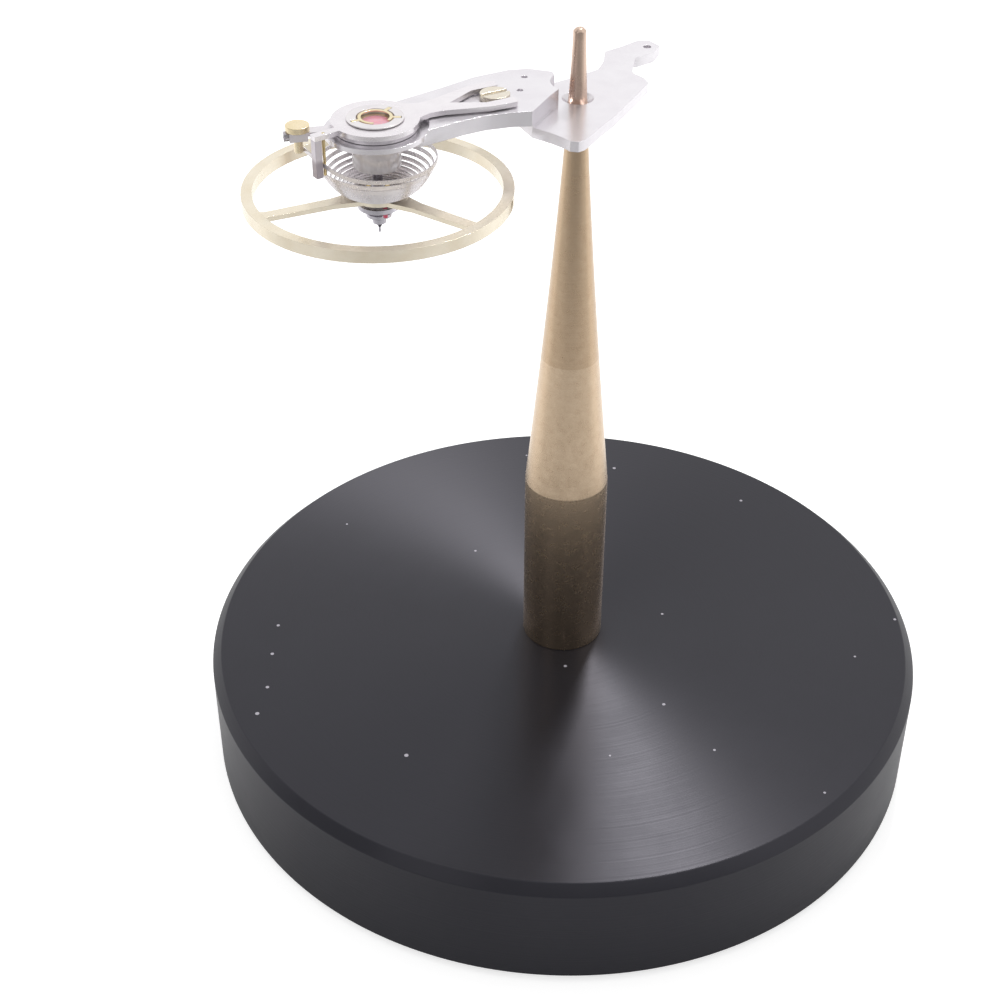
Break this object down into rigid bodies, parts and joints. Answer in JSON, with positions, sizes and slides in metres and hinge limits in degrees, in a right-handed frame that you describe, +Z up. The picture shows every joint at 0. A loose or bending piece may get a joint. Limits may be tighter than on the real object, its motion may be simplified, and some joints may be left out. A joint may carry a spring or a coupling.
{
  "type": "balance holder",
  "caption": "Heavy round base with a slender tapered brass post; a watch balance with its cock hangs from the needle end, so that the wheel swings free.",
  "frame": {"origin": "centre of the base's underside, on the post's axis", "axes": "+Z up along the post; seen from the front along +Y, with +X to the right, the balance hangs to the left of the post"},
  "size_m": [0.035, 0.035, 0.0373],
  "materials": {
    "black_anodised": "turned, black anodised",
    "turned_brass": "fine turned",
    "screw_steel": "machined",
    "bright_plate": "bright plated",
    "polished_steel": "polished",
    "setting_plate": "bright plated",
    "gilt": "gilt",
    "ruby": "polished",
    "spring_gold": "polished",
    "index_steel": "satin",
    "dark_steel": "polished",
    "adjuster_brass": "polished",
    "carrier_steel": "satin",
    "stud_gilt": "gilt",
    "spring_alloy": "polished",
    "wheel_gilt": "gilt, satin"
  },
  "bodies": {
    "holder": {"base": "black_anodised", "column": "turned_brass", "base_screw": "screw_steel"},
    "cock": {"cock": "bright_plate", "steady_pins": "polished_steel", "shock_block": "setting_plate", "chaton": "gilt", "hole_jewel": "ruby", "cap_jewel": "ruby", "shock_spring": "spring_gold"},
    "index": {"regulator_index": "index_steel", "curb_pin": "gilt", "curb_boot": "dark_steel"},
    "adjuster": {"fine_adjuster": "adjuster_brass"},
    "carrier": {"stud_carrier": "carrier_steel", "stud": "stud_gilt", "stud_screw": "polished_steel", "hairspring": "spring_alloy"},
    "balance": {"collet": "gilt", "staff": "polished_steel", "balance_wheel": "wheel_gilt", "roller": "polished_steel", "impulse_jewel": "ruby"}
  },
  "joints": [
    {"name": "lift_off", "type": "slide", "parent": "holder", "child": "cock", "axis": [0, 0, 1], "range_m": [0, 0.005]},
    {"name": "index_turn", "type": "hinge", "parent": "cock", "child": "index", "pos_m": [-0.00784, -0.00462, 0.0352], "axis": [0, 0, 1], "range_deg": [-1.92, 1.92]},
    {"name": "adjuster_turn", "type": "hinge", "parent": "cock", "child": "adjuster", "pos_m": [-0.00349, -0.00206, 0.0352], "axis": [0, 0, 1], "range_deg": [-60, 60]},
    {"name": "stud_turn", "type": "hinge", "parent": "cock", "child": "carrier", "pos_m": [-0.00784, -0.00462, 0.035], "axis": [0, 0, 1], "range_deg": [-10, 6]},
    {"name": "balance_swing", "type": "hinge", "parent": "carrier", "child": "balance", "pos_m": [-0.00784, -0.00462, 0.0321], "axis": [0, 0, 1], "range_deg": [-270, 270], "stiffness_Nm_per_rad": 0.0000005, "deforming": ["hairspring"]}
  ],
  "couplings": [
    {"joint": "adjuster_turn", "follows": "index_turn", "ratio": 31.14}
  ]
}
